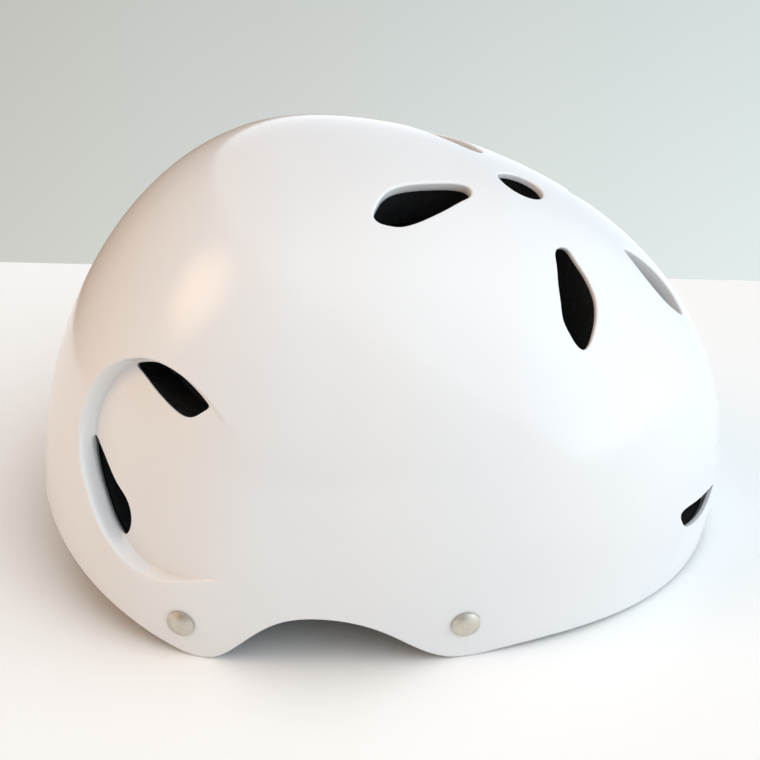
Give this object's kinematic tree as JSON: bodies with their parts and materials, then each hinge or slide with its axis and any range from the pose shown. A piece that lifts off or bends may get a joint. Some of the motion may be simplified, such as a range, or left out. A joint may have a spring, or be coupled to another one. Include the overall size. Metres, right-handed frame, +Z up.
{
  "type": "skateboard helmet",
  "caption": "Hard-shell skateboard helmet with vented dome, rear side scoops, foam liner, pads and a buckled chin strap.",
  "frame": {"origin": "centre of the bounding box's bottom, on the floor the helmet stands on", "axes": "-Y is the front (brow), +X is the wearer's left, +Z is up through the crown; +Y is the longest extent"},
  "size_m": [0.2192, 0.2575, 0.1521],
  "materials": {
    "shell_plastic": "satin white moulded plastic",
    "liner_foam": "black bead foam",
    "rivet_metal": "satin nickel",
    "hook_tape": "black hook tape",
    "pad_cloth": "black brushed cloth over soft foam",
    "webbing": "black woven webbing",
    "buckle_plastic": "black moulded plastic"
  },
  "bodies": {
    "helmet": {"shell": "shell_plastic", "eps_liner": "liner_foam", "rivets": "rivet_metal", "rivet_washers": "rivet_metal", "hook_patches": "hook_tape", "brow_pad": "pad_cloth", "rear_pad": "pad_cloth", "side_pad_right": "pad_cloth", "side_pad_left": "pad_cloth", "crown_pad": "pad_cloth", "strap_front_right": "webbing", "strap_front_left": "webbing", "strap_rear_right": "webbing", "strap_rear_left": "webbing", "chin_strap_right": "webbing", "chin_strap_left": "webbing", "divider_right": "buckle_plastic", "divider_left": "buckle_plastic", "buckle_socket": "buckle_plastic"},
    "plug": {"buckle_plug": "buckle_plastic"},
    "slider": {"strap_slider": "buckle_plastic"},
    "lever_right": {"cam_lever_right": "buckle_plastic"},
    "lever_left": {"cam_lever_left": "buckle_plastic"}
  },
  "joints": [
    {"name": "buckle_release", "type": "slide", "parent": "helmet", "child": "plug", "axis": [1, 0, 0], "range_m": [0, 0.018], "deforming": ["chin_strap_left", "buckle_plug"]},
    {"name": "slider_travel", "type": "slide", "parent": "plug", "child": "slider", "axis": [1, 0, 0], "range_m": [0, 0.006]},
    {"name": "lever_right_hinge", "type": "hinge", "parent": "helmet", "child": "lever_right", "pos_m": [-0.0686, 0.024, 0.0072], "axis": [0, 1, 0], "range_deg": [0, 80]},
    {"name": "lever_left_hinge", "type": "hinge", "parent": "helmet", "child": "lever_left", "pos_m": [0.0686, 0.024, 0.0072], "axis": [0, 1, 0], "range_deg": [-80, 0]}
  ]
}
